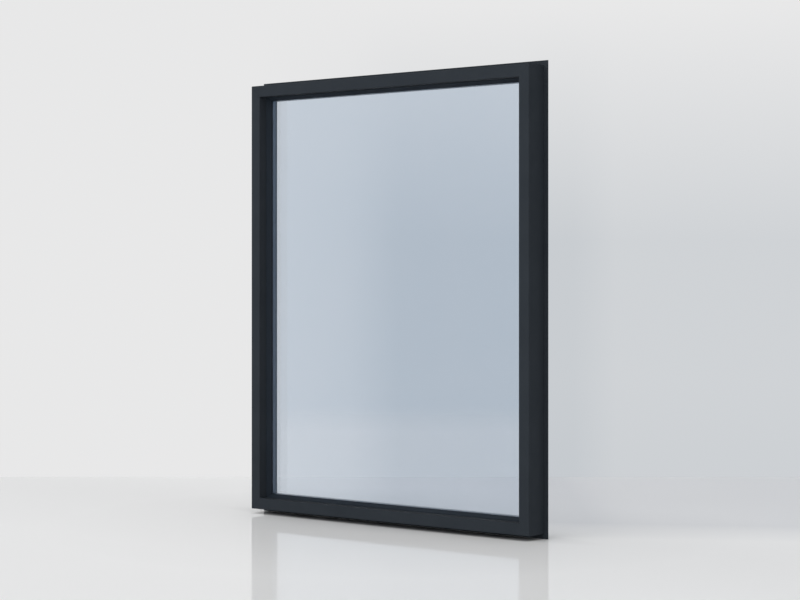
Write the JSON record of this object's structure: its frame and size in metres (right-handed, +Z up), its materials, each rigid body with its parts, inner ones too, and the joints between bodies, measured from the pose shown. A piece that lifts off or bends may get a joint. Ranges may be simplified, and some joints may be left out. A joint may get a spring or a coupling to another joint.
{
  "type": "fixed picture window",
  "caption": "Fixed picture window: mitred anthracite box frame with a rear wall flange, sloped glazing beads in a deep reveal and a sealed double-glazed unit",
  "frame": {"origin": "middle of the sill flange, on the flat face that bears on the wall: centred left to right, half way up the flange strip", "axes": "+X to the right seen from the room side, +Y out through the flange to the weather side, +Z up"},
  "size_m": [1.2522, 0.087, 1.557],
  "materials": {
    "frame_paint": "satin powder coat",
    "bead_paint": "satin powder coat",
    "strip_plastic": "matte, coated with the frame",
    "gasket_rubber": "matte",
    "weather_rubber": "matte grey",
    "seal_rubber": "matte",
    "spacer_metal": "satin, grey anodised",
    "glass": "polished, faint blue-grey"
  },
  "bodies": {
    "root": {"room_frame_left": "frame_paint", "room_frame_head": "frame_paint", "room_frame_right": "frame_paint", "room_frame_sill": "frame_paint", "flange_frame_left": "frame_paint", "flange_frame_head": "frame_paint", "flange_frame_right": "frame_paint", "flange_frame_sill": "frame_paint", "outer_strip_left": "strip_plastic", "outer_strip_head": "strip_plastic", "outer_strip_right": "strip_plastic", "outer_strip_sill": "strip_plastic", "inner_strip_left": "strip_plastic", "inner_strip_head": "strip_plastic", "inner_strip_right": "strip_plastic", "inner_strip_sill": "strip_plastic", "bead_left": "bead_paint", "bead_head": "bead_paint", "bead_right": "bead_paint", "bead_sill": "bead_paint", "bead_gasket_left": "gasket_rubber", "bead_gasket_head": "gasket_rubber", "bead_gasket_right": "gasket_rubber", "bead_gasket_sill": "gasket_rubber", "weather_gasket_left": "weather_rubber", "weather_gasket_head": "weather_rubber", "weather_gasket_right": "weather_rubber", "weather_gasket_sill": "weather_rubber", "spacer_left": "spacer_metal", "spacer_head": "spacer_metal", "spacer_right": "spacer_metal", "spacer_sill": "spacer_metal", "edge_seal_left": "seal_rubber", "edge_seal_head": "seal_rubber", "edge_seal_right": "seal_rubber", "edge_seal_sill": "seal_rubber", "pane_room": "glass", "pane_weather": "glass", "setting_block_left": "gasket_rubber", "setting_block_right": "gasket_rubber"}
  },
  "joints": []
}
